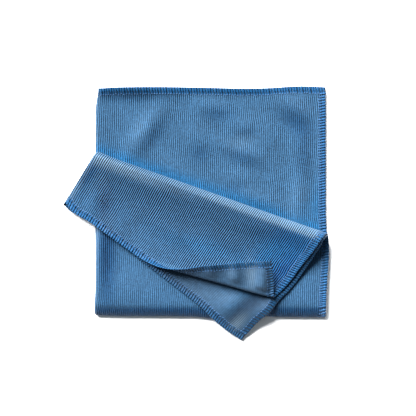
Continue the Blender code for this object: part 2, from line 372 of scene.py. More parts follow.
    def fold_left(self, side: np.ndarray) -> tuple[np.ndarray, np.ndarray]:
        """Fold the sheet about its middle.

        Args:
            side: places across the flat sheet.

        Returns:
            Distance from the left fold, and depth below the pair's outer layer.
        """
        radius = self.left_radius
        angle = np.clip(side / radius, -math.pi / 2.0, math.pi / 2.0)
        run = np.maximum(np.abs(side) - radius * math.pi / 2.0, 0.0)
        across = radius * (1.0 - np.cos(angle)) + run
        depth = radius * (1.0 + np.sin(angle))
        settled = depth - 2.0 * radius + self.pair_step(across)
        return across, np.where((side > 0.0) & (run > 0.0), settled, depth)

    def front_height(self, across: np.ndarray, up: np.ndarray) -> np.ndarray:
        """Find the height of the uppermost layer of the stack of four.

        Args:
            across: places across the stack.
            up: places up the stack.

        Returns:
            The height of the layer's middle at each place.
        """
        flat = self.sheet / 2.0 + 2.0 * self.pair_step(across) + self.layer_step
        rolled = self.sheet / 2.0 + 2.0 * self.bottom_radius
        settled = eased((up - self.bottom_radius * self.bottom_stretch) / self.bottom_settling)
        return between(rolled, flat, settled)

    def fold_bottom(
        self, across: np.ndarray, depth: np.ndarray, length: np.ndarray
    ) -> tuple[np.ndarray, np.ndarray, np.ndarray, np.ndarray]:
        """Fold the pair about the bottom line.

        Args:
            across: distance from the left fold.
            depth: depth below the pair's outer layer.
            length: places along the flat sheet.

        Returns:
            Place across, place up, height, and whether the place is in the front pair.
        """
        level = length - self.bottom_slope * across
        short = self.bottom_radius - depth
        long = short * (1.0 + (self.bottom_stretch - 1.0) * short / self.bottom_radius)
        half = quarter_round(long, short) + self.bottom_take_up * depth / self.layer_step
        angle = np.clip(level / half, -1.0, 1.0) * math.pi / 2.0
        run = np.maximum(np.abs(level) - half, 0.0)
        crown = self.bottom_radius * self.bottom_stretch
        up = self.bottom_slope * across + crown - long * np.cos(angle) + run
        front = level < 0.0
        placed = across + np.where(front, self.front_lean * run, 0.0)
        rolled = self.sheet / 2.0 + self.bottom_radius - short * np.sin(angle)
        height = np.where(front & (run > 0.0), self.front_height(placed, up) - depth, rolled)
        level = height / (2.0 * self.bottom_radius) - self.bottom_sag_level
        up = up + self.bottom_sag * level * np.exp(-((up / self.bottom_sag_run) ** 2))
        return placed, up, height, front

    def turn_radius(self, run: np.ndarray) -> np.ndarray:
        """Radius of the turn at a distance along its line."""
        part = np.clip(run / self.turn.length, *self.turn_ends)
        return between(self.turn_radius_left, self.turn_radius_right, part)

    def crown(self, run: np.ndarray) -> np.ndarray:
        """How much taller than round the turn is, at a distance along its line."""
        return between(self.crown_left, self.crown_right, np.clip(run / self.turn.length, 0.0, 1.0))

    def flap_height(self, across: np.ndarray, up: np.ndarray, depth: np.ndarray) -> np.ndarray:
        """Find the height of a flap layer: off the turn, down on the stack and over its edges.

        Args:
            across: places across the stack.
            up: places up the stack.
            depth: height over the flap's lower layer.

        Returns:
            The height of the layer's middle at each place.
        """
        along, out = self.turn.measure(across, up)
        radius = self.turn_radius(along)
        run = -out - radius - self.layer_step - self.sheet / 2.0
        share = np.clip(run / self.turn_settling, 0.0, 1.0)
        share = share**2 * (1.0 + self.turn_softness) / (share + self.turn_softness)
        settled = 1.0 - (1.0 - share) ** 2
        top = 2.0 * radius + self.crown(along)
        height = self.front_height(across, up) + between(top, self.flap_step, settled)
        past_left = np.maximum(self.overhang_begins - across, 0.0)
        droop = self.overhang_slope * (np.hypot(past_left, self.overhang_ease) - self.overhang_ease)
        swell = soft_ridges(self.flap_ridges, across, up)
        swell += soft_ridges(self.upper_ridges, across, up) * depth / self.layer_step
        swell *= eased(run / self.flap_swell_run)
        drape = eased((self.drape_top - up) / self.drape_run)
        return between(height - droop + swell, self.drape_end, drape) + depth

    def turn_down(
        self, across: np.ndarray, up: np.ndarray, height: np.ndarray, depth: np.ndarray, front: np.ndarray
    ) -> tuple[np.ndarray, np.ndarray, np.ndarray, np.ndarray]:
        """Turn the front pair down about the turn line.

        Args:
            across: places across the stack.
            up: places up the stack.
            height: heights over the floor.
            depth: depth below the pair's outer layer.
            front: whether each place is in the front pair.

        Returns:
            Place across, place up, height, and whether the place is in the flap.
        """
        along, out = self.turn.measure(across, up)
        radius = self.turn_radius(along)
        lead = radius + self.layer_step + self.sheet / 2.0
        past = out + lead
        layer_radius = radius + depth
        angle = np.clip(past / layer_radius, 0.0, math.pi)
        run = np.maximum(past - math.pi * layer_radius, 0.0)

        share = across / self.half
        upper = np.clip(depth / self.layer_step, 0.0, 1.0)
        slide = self.creep_left * (1.0 - share) ** 2 + self.creep_right * share
        slide = slide * np.clip(run / self.creep_run, 0.0, 1.0)
        part = np.clip(run / self.lower_bulge_run, 0.0, 1.0)
        bulge = self.lower_bulge * np.sin(math.pi * part) - self.lower_pull * part**2
        slide = slide + bulge * share**2 * (1.0 - upper)
        lower_shortening = between(self.lower_shortening_left, self.lower_shortening_right, share)
        upper_shortening = between(self.upper_shortening_left, self.upper_shortening_right, share**2)
        shortening = between(lower_shortening, upper_shortening, upper)
        shortened = run - shortening * eased(run / self.creep_run)

        turned = front & (past > 0.0)
        out_turned = layer_radius * np.sin(angle) - shortened - lead
        across_new, up_new = self.turn.place(along + slide, out_turned)
        across_new = np.where(turned, across_new, across)
        up_new = np.where(turned, up_new, up)
        roll = self.front_height(across_new, up_new) + radius - layer_radius * np.cos(angle)
        roll = roll + self.crown(along) * (1.0 - np.cos(angle)) / 2.0
        return across_new, up_new, np.where(turned, roll, height), turned & (run > 0.0)

    def bend_corner(
        self, across: np.ndarray, up: np.ndarray, depth: np.ndarray, upper: np.ndarray
    ) -> tuple[np.ndarray, np.ndarray, np.ndarray]:
        """Bend the flap's free corner back, and give the flap its height.

        Args:
            across: places across the stack.
            up: places up the stack.
            depth: depth below the pair's outer layer.
            upper: whether each place is in the flap's upper layer.

        Returns:
            Place across, place up and height.
        """
        along, out = self.corner.measure(across, up)
        part = np.clip(along / self.corner.length, 0.0, 1.0)
        radius = between(self.corner_radius_left, self.corner_radius_right, part)
        bend = np.radians(np.interp(part, self.corner_parts, self.corner_degrees))
        lead = radius + self.sheet / 2.0
        past = np.where(upper, lead - out, 0.0)
        angle = np.clip(past / radius, 0.0, bend)
        run = np.maximum(past - bend * radius, 0.0)
        out_bent = radius * np.sin(angle) + run * np.cos(bend) - lead
        bent = past > 0.0
        across_new, up_new = self.corner.place(along, -out_bent)
        across_new = np.where(bent, across_new, across)
        up_new = np.where(bent, up_new, up)
        raised = radius * (1.0 - np.cos(angle)) + run * np.sin(bend)
        swell = soft_ridges(self.corner_ridges, across_new, up_new)
        raised += swell * eased(run / self.corner_swell_run)
        height = self.flap_height(across_new, up_new, depth) + np.where(bent, raised, 0.0)
        return across_new, up_new, height

    def shift(self, across: np.ndarray, up: np.ndarray) -> tuple[np.ndarray, np.ndarray]:
        """Move the outline by its small shifts.

        Args:
            across: places across the stack.
            up: places up the stack.

        Returns:
            The moved places, across and up.
        """
        moved_across = across.copy()
        moved_up = up.copy()
        for middle_x, middle_y, reach, shift_x, shift_y in self.outline_shifts:
            distance = np.hypot(across / MM - middle_x, up / MM - middle_y)
            share = np.exp(-((distance / reach) ** 2))
            moved_across += shift_x * MM * share
            moved_up += shift_y * MM * share
        return moved_across, moved_up

    def fold(self, side: np.ndarray, length: np.ndarray) -> np.ndarray:
        """Carry points of the flat sheet to the middle of its thickness in the folded cloth.

        Args:
            side: places across the flat sheet.
            length: places along the flat sheet.

        Returns:
            One row of x, y and z a point.
        """
        across, depth = self.fold_left(side)
        across, up, height, front = self.fold_bottom(across, depth, length)
        across, up, height, flap = self.turn_down(across, up, height, depth, front)
        upper = flap & (side > self.left_radius * math.pi / 2.0)
        across_flap, up_flap, height_flap = self.bend_corner(across, up, depth, upper)
        across = np.where(flap, across_flap, across)
        up = np.where(flap, up_flap, up)
        height = np.where(flap, height_flap, height)
        above_back = eased((height - self.sheet / 2.0) / self.layer_step)
        height = height + soft_ridges(self.stack_ridges, across, up) * above_back
        height = height + (self.solid_thickness(side, length) - self.sheet) / 2.0
        across, up = self.shift(across, up)
        return np.stack((across - self.middle[0], up - self.middle[1], height), axis=-1)

    def lay(self, side: np.ndarray, length: np.ndarray, lift: np.ndarray) -> np.ndarray:
        """Carry points that lie off the sheet's middle, or just outside its border, with it.

        Args:
            side: places across the flat sheet.
            length: places along the flat sheet.
            lift: distance off the middle of the thickness, towards the ribbed face.

        Returns:
            One row of x, y and z a point.
        """
        step = self.probe
        edge = self.half - step
        held_side = np.clip(side, -edge, edge)
        held_length = np.clip(length, -edge, edge)
        here = self.fold(held_side, held_length)
        ahead_side = (self.fold(held_side + step, held_length) - here) / step
        ahead_length = (self.fold(held_side, held_length + step) - here) / step
        normal = np.cross(ahead_side, ahead_length)
        normal /= np.maximum(np.linalg.norm(normal, axis=-1, keepdims=True), np.finfo(float).tiny)
        outside = ahead_side * (side - held_side)[:, None] + ahead_length * (length - held_length)[:, None]
        return here + outside + normal * lift[:, None]


@dataclass
class PaintedLightMap:
    """Painted light over the folded sheet: where its blue is painted pale, deep or full.

    Brushed pile changes its tone with the way that it leans, so a hand or a fold leaves soft
    Each method gives one value for each point that the map is made for: a painted highlight,
    painted shade, painted blue bounce light, or how far the ribs open, which sets their relief and
    the painted shade in their grooves. A row of a table of patches is: middle across, middle up,
    half length, half width in millimetres on the folded stack, heading in degrees, strength.
    """

    folds: FoldedSheet
    side: np.ndarray
    length: np.ndarray

    # painted highlight on the turn's crest, less at its left end, where a painted pale haze runs on past it
    crest_begins: float = 0.42 * math.pi
    crest_rise: float = 0.16 * math.pi
    crest_lead: float = 1.5 * MM
    crest_fall: float = 5.0 * MM
    crest_strength: float = 0.67
    crest_loss: float = 0.38
    haze_reach: float = 130 * MM
    haze_lead: float = 4.5 * MM
    haze_rise: float = 4.0 * MM
    haze_hold: float = 1.5 * MM
    haze_fall: float = 9.0 * MM

    # painted highlight along the left fold, more on the flap than on the stack
    fold_crown: float = 2.2 * MM
    fold_fall_flap: float = 5.5 * MM
    fold_fall_stack: float = 1.8 * MM
    fold_gain_flap: float = 2.2
    fold_strength: float = 0.25

    # painted highlights in patches on the bent corner's smooth side, and on all the rest
    corner_highlight_patches: tuple[Row, ...] = (
        (134.5, 38.5, 13.0, 4.5, 92.0, 0.6),
        (117.0, 40.0, 9.0, 3.5, 92.0, 0.2),
    )
    highlight_patches: tuple[Row, ...] = (
        (173.8, 96.0, 16.0, 9.0, 80.0, 0.25),
        (122.0, -7.0, 12.0, 5.0, 45.0, 1.1),
        (112.0, 18.0, 20.0, 4.5, -8.0, 0.15),
        (38.0, 162.0, 14.0, 8.0, 60.0, 0.15),
        (127.0, 152.0, 14.0, 8.0, 20.0, 0.20),
    )

    # ribs that the turn draws apart: open over one run and closing over the next, each given at
    # the left end and at the right end, which grow from the one to the other from the first place
    # across and over the second, and closed beside the left fold in the same way
    # the opening deepens the ribs' relief and the painted shade in their grooves
    opening_lead: float = 6.0 * MM
    opening_rise: float = 5.0 * MM
    opening_hold: tuple[float, float] = (16.0 * MM, 36.0 * MM)
    opening_fall: tuple[float, float] = (26.0 * MM, 56.0 * MM)
    opening_grows: tuple[float, float] = (50.0 * MM, 100.0 * MM)
    opening_left: tuple[float, float] = (4.0 * MM, 14.0 * MM)
    brushed_front: float = -0.16

    # painted shade: on the bottom roll, over the front pair, on the flap's two layers, and in patches
    roll_begins: float = 6.0 * MM
    roll_fades: float = 4.0 * MM
    front_shade: float = 0.12
    lower_layer_shade: float = 0.10
    upper_layer_shade: float = 0.30
    flap_shade_patches: tuple[Row, ...] = (
        (158.0, 31.0, 28.0, 12.0, 50.0, 0.9),
        (160.0, 72.0, 26.0, 9.0, -20.0, 0.4),
        (128.0, 5.0, 14.0, 6.0, 45.0, 1.6),
        (88.0, 60.0, 28.0, 10.0, -15.0, -0.25),
        (-7.0, 124.5, 10.0, 5.0, 60.0, 1.0),
        (8.0, 99.0, 16.0, 6.0, 80.0, 0.5),
    )
    stack_shade_patches: tuple[Row, ...] = (
        (10.0, 58.0, 46.0, 7.5, 90.0, 1.0),
        (105.8, 175.8, 13.0, 6.0, 0.0, 0.45),
        (90.2, 141.8, 8.0, 7.0, 0.0, 0.45),
        (125.9, 138.3, 17.0, 5.0, -20.0, 0.45),
        (131.0, 160.0, 9.0, 4.0, 0.0, 0.4),
        (172.9, 169.7, 15.0, 9.0, -40.0, 0.6),
        (50.0, 157.0, 15.0, 6.0, 50.0, 0.4),
        (181.0, 145.0, 26.0, 7.0, 90.0, 0.4),
        (121.5, 112.6, 9.0, 4.0, 0.0, 0.3),
        (30.0, 191.5, 34.0, 4.0, 0.0, 0.5),
    )

    # painted blue bounce light, which makes the blue full: beside the turn, and in patches
    beside_turn: float = 1.0 * MM
    beside_reach: float = 6.0 * MM
    flap_bounce_patches: tuple[Row, ...] = (
        (158.0, 50.0, 44.0, 20.0, 40.0, 1.2),
        (92.0, 60.0, 34.0, 10.0, -15.0, 0.6),
    )
    stack_bounce_patches: tuple[Row, ...] = (
        (178.0, 92.0, 12.0, 12.0, 70.0, 0.5),
        (193.0, 96.0, 20.0, 6.0, 90.0, 0.5),
    )

    # where the points lie: on the stack before the turn, past the turn, on it after, and bent
    start_across: np.ndarray = field(init=False)
    start_up: np.ndarray = field(init=False)
    layer_radius: np.ndarray = field(init=False)
    off_line: np.ndarray = field(init=False)
    past: np.ndarray = field(init=False)
    across: np.ndarray = field(init=False)
    up: np.ndarray = field(init=False)
    front: np.ndarray = field(init=False)
    flap: np.ndarray = field(init=False)
    bent: np.ndarray = field(init=False)
    upper_share: np.ndarray = field(init=False)
    bent_across: np.ndarray = field(init=False)
    bent_up: np.ndarray = field(init=False)

    def __post_init__(self) -> None:
        """Follow the points through the folds, and keep where they lie on the way."""
        folds = self.folds
        across, depth = folds.fold_left(self.side)
        self.start_across, self.start_up, height, self.front = folds.fold_bottom(across, depth, self.length)
        along, self.off_line = folds.turn.measure(self.start_across, self.start_up)
        radius = folds.turn_radius(along)
        self.layer_radius = radius + depth
        lead = radius + folds.layer_step + folds.sheet / 2.0
        self.past = self.off_line + lead - math.pi * self.layer_radius
        self.across, self.up, height, self.flap = folds.turn_down(
            self.start_across, self.start_up, height, depth, self.front
        )
        self.upper_share = np.clip(depth / folds.layer_step, 0.0, 1.0)
        on_bend = folds.corner.measure(self.across, self.up)[1] < folds.corner_radius_left
        self.bent = (self.side > 0.0) & on_bend
        self.bent_across, self.bent_up, height = folds.bend_corner(
            self.across, self.up, depth, self.flap & (self.side > 0.0)
        )

    def painted_highlight(self) -> np.ndarray:
        """Find how strong the painted highlight is at each point, 0 to 1, so that it looks pale.

        Returns:
            One value a point.
        """
        turned = self.past / self.layer_radius + math.pi
        rise = eased((turned - self.crest_begins) / self.crest_rise)
        fall = 1.0 - eased((self.past + self.crest_lead) / self.crest_fall)
        near_left = 1.0 - eased(self.start_across / self.haze_reach)
        crest = (self.crest_strength - self.crest_loss * near_left) * rise * fall
        haze = near_left * eased((self.past + self.haze_lead) / self.haze_rise)
        haze *= 1.0 - eased((self.past - self.haze_hold) / self.haze_fall)
        on_turn = np.where(self.front, np.maximum(crest, haze), 0.0)
        fold_fall = np.where(self.flap, self.fold_fall_flap, self.fold_fall_stack)
        on_fold = 1.0 - eased((np.abs(self.side) - self.fold_crown) / fold_fall)
        on_fold *= np.where(self.flap, self.fold_gain_flap, 1.0) * self.fold_strength
        corner_part = soft_ridges(self.corner_highlight_patches, self.bent_across, self.bent_up) / MM
        open_part = soft_ridges(self.highlight_patches, self.bent_across, self.bent_up) / MM
        patches = np.where(self.flap & (self.side > 0.0), corner_part, open_part)
        return np.clip(np.maximum(on_turn, on_fold) + patches, 0.0, 1.0)

    def opened_ribs_and_shade(self) -> np.ndarray:
        """Find how far the ribs are drawn apart, over the turn and past it, or brushed shut.

        Returns:
            One value a point, up to 1, and below 0 where brushing has closed the ribs.
        """
        to_right = eased((self.start_across - self.opening_grows[0]) / self.opening_grows[1])
        hold = between(*self.opening_hold, to_right)
        rise = eased((self.past + self.opening_lead) / self.opening_rise)
        fall = 1.0 - eased((self.past - hold) / between(*self.opening_fall, to_right))
        off_left = eased((self.start_across - self.opening_left[0]) / self.opening_left[1])
        opened = np.where(self.past > -self.opening_lead, rise * fall * off_left, self.brushed_front)
        return np.where(self.front, opened, 0.0)

    def painted_shade(self) -> np.ndarray:
        """Find how strong the painted shade is at each point, 0 to 1, so that it looks deep.

        Returns:
            One value a point.
        """
        rolled = 1.0 - eased((self.start_up - self.roll_begins) / self.roll_fades)
        layer_shade = between(self.lower_layer_shade, self.upper_layer_shade, self.upper_share)
        flap_part = layer_shade + soft_ridges(self.flap_shade_patches, self.across, self.up) / MM
        on_flap = np.where(self.bent, 0.0, flap_part)
        on_stack = np.where(self.front, self.front_shade, 0.0)
        on_stack = on_stack + soft_ridges(self.stack_shade_patches, self.across, self.up) / MM
        return np.clip(np.maximum(rolled, np.where(self.flap, on_flap, on_stack)), 0.0, 1.0)

    def painted_bounce(self) -> np.ndarray:
        """Find how strong the painted blue bounce light is at each point, 0 to 1, so that its blue is full.

        Returns:
            One value a point.
        """
        by_turn = np.exp(-(((self.off_line - self.beside_turn) / self.beside_reach) ** 2))
        flap_part = soft_ridges(self.flap_bounce_patches, self.across, self.up) / MM
        on_flap = np.where(self.bent, 0.0, flap_part)
        on_stack = soft_ridges(self.stack_bounce_patches, self.across, self.up) / MM
        off_flap = np.where(self.front, 0.0, np.maximum(by_turn, on_stack))
        return np.clip(np.where(self.flap, on_flap, off_flap), 0.0, 1.0)


def linear(code: str) -> Colour:
    """Turn an sRGB hex colour to linear light.

    Args:
        code: the colour, such as #3366AA.

    Returns:
        Red, green, blue and full cover.
    """
    parts = [int(code[place : place + 2], 16) / 255.0 for place in (1, 3, 5)]
    red, green, blue = (
        part / 12.92 if part <= 0.04045 else ((part + 0.055) / 1.055) ** 2.4 for part in parts
    )
    return (red, green, blue, 1.0)


def add_node(
    tree: bpy.types.NodeTree,
    kind: Kind,
    *feeds: object,
    inputs: dict[int | str, object] | None = None,
    **settings: object,
) -> bpy.types.Node:
    """Add a node with its settings and links.

    Args:
        tree: the material's nodes.
        kind: what the node does.
        feeds: what goes into its inputs in their order: a value, an output socket, or a node,
            which stands for its first output in use.
        inputs: the same for inputs by their name or place.
        settings: the node's properties.

    Returns:
        The new node.
    """
    node = tree.nodes.new(kind.value)
    for name, value in settings.items():
        setattr(node, name, value)
    for key, value in [*enumerate(feeds), *(inputs or {}).items()]:
        if isinstance(value, bpy.types.Node):
            value = next(output for output in value.outputs if output.enabled)
        if isinstance(value, bpy.types.NodeSocket):
            tree.links.new(value, node.inputs[key])
        else:
            node.inputs[key].default_value = value
    return node


def start_material(name: str) -> bpy.types.Material:
    """Make a material that has no nodes yet.

    Args:
        name: the material's name.

    Returns:
        The material.
    """
    material = bpy.data.materials.new(name)
    material.use_nodes = True
    material.node_tree.nodes.clear()
    return material


@dataclass(frozen=True)
class Unevenness:
    """One kind of unevenness in a knit: how far apart its patches lie, and how ragged they are."""

    spacing: float
    detail: float
    raggedness: float = 0.5


@dataclass
class KnitGround:
    """The nodes that a knit's colour, shade and relief are all made from."""

    tree: bpy.types.NodeTree
    side: bpy.types.NodeSocket
    length: bpy.types.NodeSocket
    noise: dict[str, bpy.types.Node]
    drawn: dict[str, bpy.types.NodeSocket]
    wale: bpy.types.Node
    loops: bpy.types.Node


@dataclass(frozen=True)
class KnitFinish:
    """Split-fibre microfibre, warp-knitted and brushed.

    The ribs are wales of fine loops. Bends and rib tops carry a painted highlight, where brushed
    filaments would scatter light at a grazing angle, and the grooves between wales carry painted
    shade that keeps them deep and full in colour. The weave of single filaments is far too fine to
    show, so the nap is drawn as tufts of 1.1 mm.
    """

    name: str
    crest: str
    groove: str
    # the painted highlight's pale colour, the painted shade's tint, and the painted blue bounce light's tint
    raised: str = "#859DAE"
    shade_tint: Colour = (0.18, 0.50, 0.68, 1.0)
    bounce_tint: Colour = (0.36, 1.10, 1.34, 1.0)

    # round wales, 232 of them over 400 mm, a little off the thread line and swaying
    rib_pitch: float = 400 * MM / 232
    rib_lean: float = math.tan(math.radians(2.9))
    rib_sharpness: float = 2.0
    rib_depth: float = 0.74 * MM
    # the colour contrast from groove to crest is painted shade in the grooves, stronger where the ribs open
    rib_contrast: float = 0.64
    rib_sway: float = 3.0 * MM
    opened_shade_contrast: float = 2.9
    opened_depth: float = 0.45
    brushing: float = 1.6

    # the loops of each wale, drawn at 1.3 mm, coarser than they are, so that their beat shows
    loop_pitch: float = 1.3 * MM
    loop_strength: float = 0.06

    # from broad clouds of tone down to tufts of nap
    sway: Unevenness = Unevenness(30 * MM, 2.0)
    cloud: Unevenness = Unevenness(22 * MM, 3.0, 0.55)
    patch: Unevenness = Unevenness(7 * MM, 3.0)
    lint: Unevenness = Unevenness(3.2 * MM, 2.0)
    nap_and_painted_highlight: Unevenness = Unevenness(1.1 * MM, 3.0, 0.65)
    cloud_strength: float = 0.18
    lint_strength: float = 0.30
    nap_strength: float = 0.42
    nap_height: float = 0.30 * MM

    # painted highlight in the pale colour, most on top of the wales
    highlight_share: float = 0.36
    highlight_between: float = 0.25

    # painted shade in the groove that the needle thread draws down beside the bound edge
    seam_place: float = 4.1 * MM
    seam_width: float = 2.2 * MM
    seam_shade: float = 0.45

    roughness: float = 0.60
    gloss: float = 0.13
    sheen: float = 0.05
    sheen_roughness: float = 0.45
    sheen_tint: str = "#D8E6F6"
    bump_filter: float = 0.1

    def make(self, cloth_side: float) -> bpy.types.Material:
        """Build the material on the sheet's own flat layout.

        Args:
            cloth_side: side of the flat sheet, which the layout's map spans in metres.

        Returns:
            The material.
        """
        material = start_material(self.name)
        ground = self.lay_ground(material.node_tree)
        colour = self.paint_highlight(ground, self.shade(ground, self.mix_colour(ground), cloth_side))
        surface = {
            "Base Color": colour,
            "Normal": self.raise_relief(ground),
            "Roughness": self.roughness,
            "Specular IOR Level": self.gloss,
            "Sheen Weight": self.sheen,
            "Sheen Roughness": self.sheen_roughness,
            "Sheen Tint": linear(self.sheen_tint),
        }
        add_node(ground.tree, Kind.OUTPUT, add_node(ground.tree, Kind.SHADER, inputs=surface))
        return material

    def lay_ground(self, tree: bpy.types.NodeTree) -> KnitGround:
        """Add the layout, the unevenness, the round wales and the beat of the loops along them.

        Args:
            tree: the material's nodes.

        Returns:
            The nodes that the rest is made from.
        """
        layout = add_node(tree, Kind.UV_MAP, uv_map="flat")
        split = add_node(tree, Kind.SEPARATE, layout)
        side, length = split.outputs["X"], split.outputs["Y"]
        noise = {}
        for name in ("sway", "cloud", "patch", "lint", "nap_and_painted_highlight"):
            uneven: Unevenness = getattr(self, name)
            shape = {"Scale": 1.0 / uneven.spacing, "Detail": uneven.detail, "Roughness": uneven.raggedness}
            noise[name] = add_node(
                tree, Kind.NOISE, inputs={"Vector": layout, **shape}, noise_dimensions="2D"
            )
        # the map's attributes: painted highlight, painted shade, painted blue bounce light, and the ribs'
        # opening with its painted shade
        drawn = {
            name: add_node(tree, Kind.ATTRIBUTE, attribute_name=name).outputs["Fac"]
            for name in ("opened_ribs_and_shade", "painted_shade", "painted_bounce", "nap_and_painted_highlight")
        }
        swayed = add_node(tree, Kind.MATH, noise["sway"], self.rib_sway, side, operation="MULTIPLY_ADD")
        leaned = add_node(tree, Kind.MATH, length, self.rib_lean, swayed, operation="MULTIPLY_ADD")
        turns = add_node(tree, Kind.MATH, leaned, math.pi / self.rib_pitch, operation="MULTIPLY")
        wave = add_node(tree, Kind.MATH, turns, operation="SINE")
        arch = add_node(tree, Kind.MATH, wave, operation="ABSOLUTE")
        wale = add_node(tree, Kind.MATH, arch, self.rib_sharpness, operation="POWER")
        rate = 2.0 * math.pi / self.loop_pitch
        loop_turns = add_node(tree, Kind.MATH, length, rate, turns, operation="MULTIPLY_ADD")
        loops = add_node(tree, Kind.MATH, loop_turns, operation="SINE")
        return KnitGround(tree, side, length, noise, drawn, wale, loops)

    def mix_colour(self, ground: KnitGround) -> bpy.types.Node:
        """Go from groove to crest, with painted shade in the grooves, less where the knit is brushed
        and more where ribs are opened.

        Args:
            ground: the knit's shared nodes.

        Returns:
            The colour.
        """
        tree = ground.tree
        brushed = add_node(
            tree,
            Kind.MATH,
            ground.noise["patch"],
            -self.brushing,
            self.brushing,
            operation="MULTIPLY_ADD",
            use_clamp=True,
        )
        parts = (ground.drawn["opened_ribs_and_shade"], self.opened_shade_contrast, self.rib_contrast)
        strength = add_node(tree, Kind.MATH, *parts, operation="MULTIPLY_ADD")
        contrast = add_node(tree, Kind.MATH, brushed, strength, operation="MULTIPLY")
        off_mean = add_node(tree, Kind.MATH, ground.wale, 0.5, operation="SUBTRACT")
        rib_part = add_node(tree, Kind.MATH, off_mean, contrast, 0.5, operation="MULTIPLY_ADD")
        parts = (ground.noise["nap_and_painted_highlight"], 2.0 * self.nap_strength, 0.5 - self.nap_strength)
        nap_part = add_node(tree, Kind.MATH, *parts, operation="MULTIPLY_ADD")
        parts = (ground.loops, self.loop_strength, nap_part)
        fine_part = add_node(tree, Kind.MATH, *parts, operation="MULTIPLY_ADD")
        mixed = add_node(tree, Kind.MATH, rib_part, fine_part, operation="ADD")
        level = add_node(tree, Kind.MATH, mixed, 0.5, operation="SUBTRACT", use_clamp=True)
        ends = {0: level, 6: linear(self.groove), 7: linear(self.crest)}
        return add_node(tree, Kind.MIX, inputs=ends, data_type="RGBA")

    def shade(self, ground: KnitGround, colour: bpy.types.Node, cloth_side: float) -> bpy.types.Node:
        """Shade the colour: clouds and tufts of lint, painted shade in the groove by the bound edge
        and where the map puts it, and painted blue bounce light.

        Args:
            ground: the knit's shared nodes.
            colour: the colour so far.
            cloth_side: side of the flat sheet.

        Returns:
            The shaded colour.
        """
        tree = ground.tree
        parts = (ground.noise["cloud"], 2.0 * self.cloud_strength, 1.0 - self.cloud_strength)
        clouds = add_node(tree, Kind.MATH, *parts, operation="MULTIPLY_ADD")
        parts = (ground.noise["lint"], 2.0 * self.lint_strength, 1.0 - self.lint_strength)
        tufts = add_node(tree, Kind.MATH, *parts, operation="MULTIPLY_ADD")
        to_side = add_node(tree, Kind.MATH, ground.side, cloth_side / 2.0, operation="PINGPONG")
        to_end = add_node(tree, Kind.MATH, ground.length, cloth_side / 2.0, operation="PINGPONG")
        inside = add_node(tree, Kind.MATH, to_side, to_end, operation="MINIMUM")
        past_seam = add_node(tree, Kind.MATH, inside, self.seam_place, operation="SUBTRACT")
        off_seam = add_node(tree, Kind.MATH, past_seam, operation="ABSOLUTE")
        clear = add_node(tree, Kind.MATH, off_seam, self.seam_width, operation="DIVIDE", use_clamp=True)
        parts = (clear, 1.0 - self.seam_shade, self.seam_shade)
        seam = add_node(tree, Kind.MATH, *parts, operation="MULTIPLY_ADD")
        clouded = add_node(tree, Kind.MATH, clouds, seam, operation="MULTIPLY")
        shade = add_node(tree, Kind.MATH, clouded, tufts, operation="MULTIPLY")
        shade_mix = (ground.drawn["painted_shade"], self.shade_tint)
        bounce_mix = (ground.drawn["painted_bounce"], self.bounce_tint)
        for amount, tint in ((1.0, shade), shade_mix, bounce_mix):
            ends = {0: amount, 6: colour, 7: tint}
            colour = add_node(tree, Kind.MIX, inputs=ends, data_type="RGBA", blend_type="MULTIPLY")
        return colour

    def paint_highlight(self, ground: KnitGround, colour: bpy.types.Node) -> bpy.types.Node:
        """Paint the highlight in the pale colour, most on top of the wales.

        Args:
            ground: the knit's shared nodes.
            colour: the colour so far.

        Returns:
            The colour with its painted highlight.
        """
        tree = ground.tree
        parts = (ground.wale, 1.0 - self.highlight_between, self.highlight_between)
        on_wales = add_node(tree, Kind.MATH, *parts, operation="MULTIPLY_ADD")
        pale_part = add_node(tree, Kind.MATH, ground.drawn["nap_and_painted_highlight"], on_wales, operation="MULTIPLY")
        pale_share = add_node(tree, Kind.MATH, pale_part, self.highlight_share, operation="MULTIPLY")
        ends = {0: pale_share, 6: colour, 7: linear(self.raised)}
        return add_node(tree, Kind.MIX, inputs=ends, data_type="RGBA")

    def raise_relief(self, ground: KnitGround) -> bpy.types.Node:
        """Raise the wales and the nap.

        Args:
            ground: the knit's shared nodes.

        Returns:
            The bump.
        """
        tree = ground.tree
        parts = (ground.drawn["opened_ribs_and_shade"], self.opened_depth * self.rib_depth, self.rib_depth)
        rib_depth = add_node(tree, Kind.MATH, *parts, operation="MULTIPLY_ADD")
        rib_height = add_node(tree, Kind.MATH, ground.wale, rib_depth, operation="MULTIPLY")
        parts = (ground.noise["nap_and_painted_highlight"], self.nap_height, rib_height)
        relief = add_node(tree, Kind.MATH, *parts, operation="MULTIPLY_ADD")
        bump = {"Strength": 1.0, "Distance": 1.0, "Filter Width": self.bump_filter, "Height": relief}
        return add_node(tree, Kind.BUMP, inputs=bump)


